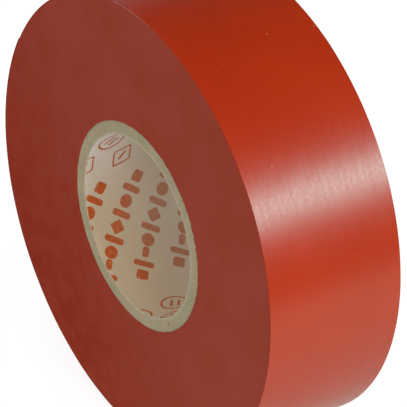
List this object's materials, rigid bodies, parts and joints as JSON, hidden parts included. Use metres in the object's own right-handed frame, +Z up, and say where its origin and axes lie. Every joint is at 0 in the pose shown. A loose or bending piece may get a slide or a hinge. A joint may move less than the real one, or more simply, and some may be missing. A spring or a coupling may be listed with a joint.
{
  "type": "electrical tape roll",
  "caption": "Roll of orange-red PVC insulating tape on a grey board core with a printed paper liner; the free end peels off the roll.",
  "frame": {"origin": "middle of the core's bore", "axes": "+Y along the bore, from the printed front to the back; +Z up, the roll stands on its tread"},
  "size_m": [0.0785, 0.025, 0.0783],
  "materials": {
    "liner_paper": "coated white paper printed in orange",
    "grey_board": "raw grey board, cut",
    "pvc_edge": "matte slit edges of the wound film",
    "pvc_film": "glossy calendered PVC",
    "adhesive": "clear tacky rubber adhesive over the film's colour"
  },
  "bodies": {
    "roll": {"core_liner": "liner_paper", "core_ply_1": "grey_board", "core_ply_2": "grey_board", "core_ply_3": "grey_board", "core_ply_4": "grey_board", "inner_windings": "pvc_edge", "outer_turn_film": "pvc_film", "outer_turn_adhesive": "adhesive"},
    "tail_1": {"tail_film_1": "pvc_film", "tail_adhesive_1": "adhesive"},
    "tail_2": {"tail_film_2": "pvc_film", "tail_adhesive_2": "adhesive"},
    "tail_3": {"tail_film_3": "pvc_film", "tail_adhesive_3": "adhesive"},
    "tail_4": {"tail_film_4": "pvc_film", "tail_adhesive_4": "adhesive"},
    "tail_5": {"tail_film_5": "pvc_film", "tail_adhesive_5": "adhesive"},
    "tail_6": {"tail_film_6": "pvc_film", "tail_adhesive_6": "adhesive"}
  },
  "joints": [
    {"name": "peel", "type": "hinge", "parent": "roll", "child": "tail_1", "pos_m": [-0.03513, 0, -0.02001], "axis": [0, -1, 0], "range_deg": [0, 12]},
    {"name": "peel_2", "type": "hinge", "parent": "tail_1", "child": "tail_2", "pos_m": [-0.03802, 0, -0.01381], "axis": [0, -1, 0], "range_deg": [0, 12]},
    {"name": "peel_3", "type": "hinge", "parent": "tail_2", "child": "tail_3", "pos_m": [-0.03979, 0, -0.0072], "axis": [0, -1, 0], "range_deg": [0, 12]},
    {"name": "peel_4", "type": "hinge", "parent": "tail_3", "child": "tail_4", "pos_m": [-0.04038, 0, -0.00038], "axis": [0, -1, 0], "range_deg": [0, 12]},
    {"name": "peel_5", "type": "hinge", "parent": "tail_4", "child": "tail_5", "pos_m": [-0.03979, 0, 0.00644], "axis": [0, -1, 0], "range_deg": [0, 12]},
    {"name": "peel_6", "type": "hinge", "parent": "tail_5", "child": "tail_6", "pos_m": [-0.03802, 0, 0.01304], "axis": [0, -1, 0], "range_deg": [0, 12]}
  ],
  "couplings": [
    {"joint": "peel_2", "follows": "peel", "ratio": 1},
    {"joint": "peel_3", "follows": "peel", "ratio": 1},
    {"joint": "peel_4", "follows": "peel", "ratio": 1},
    {"joint": "peel_5", "follows": "peel", "ratio": 1},
    {"joint": "peel_6", "follows": "peel", "ratio": 1}
  ]
}
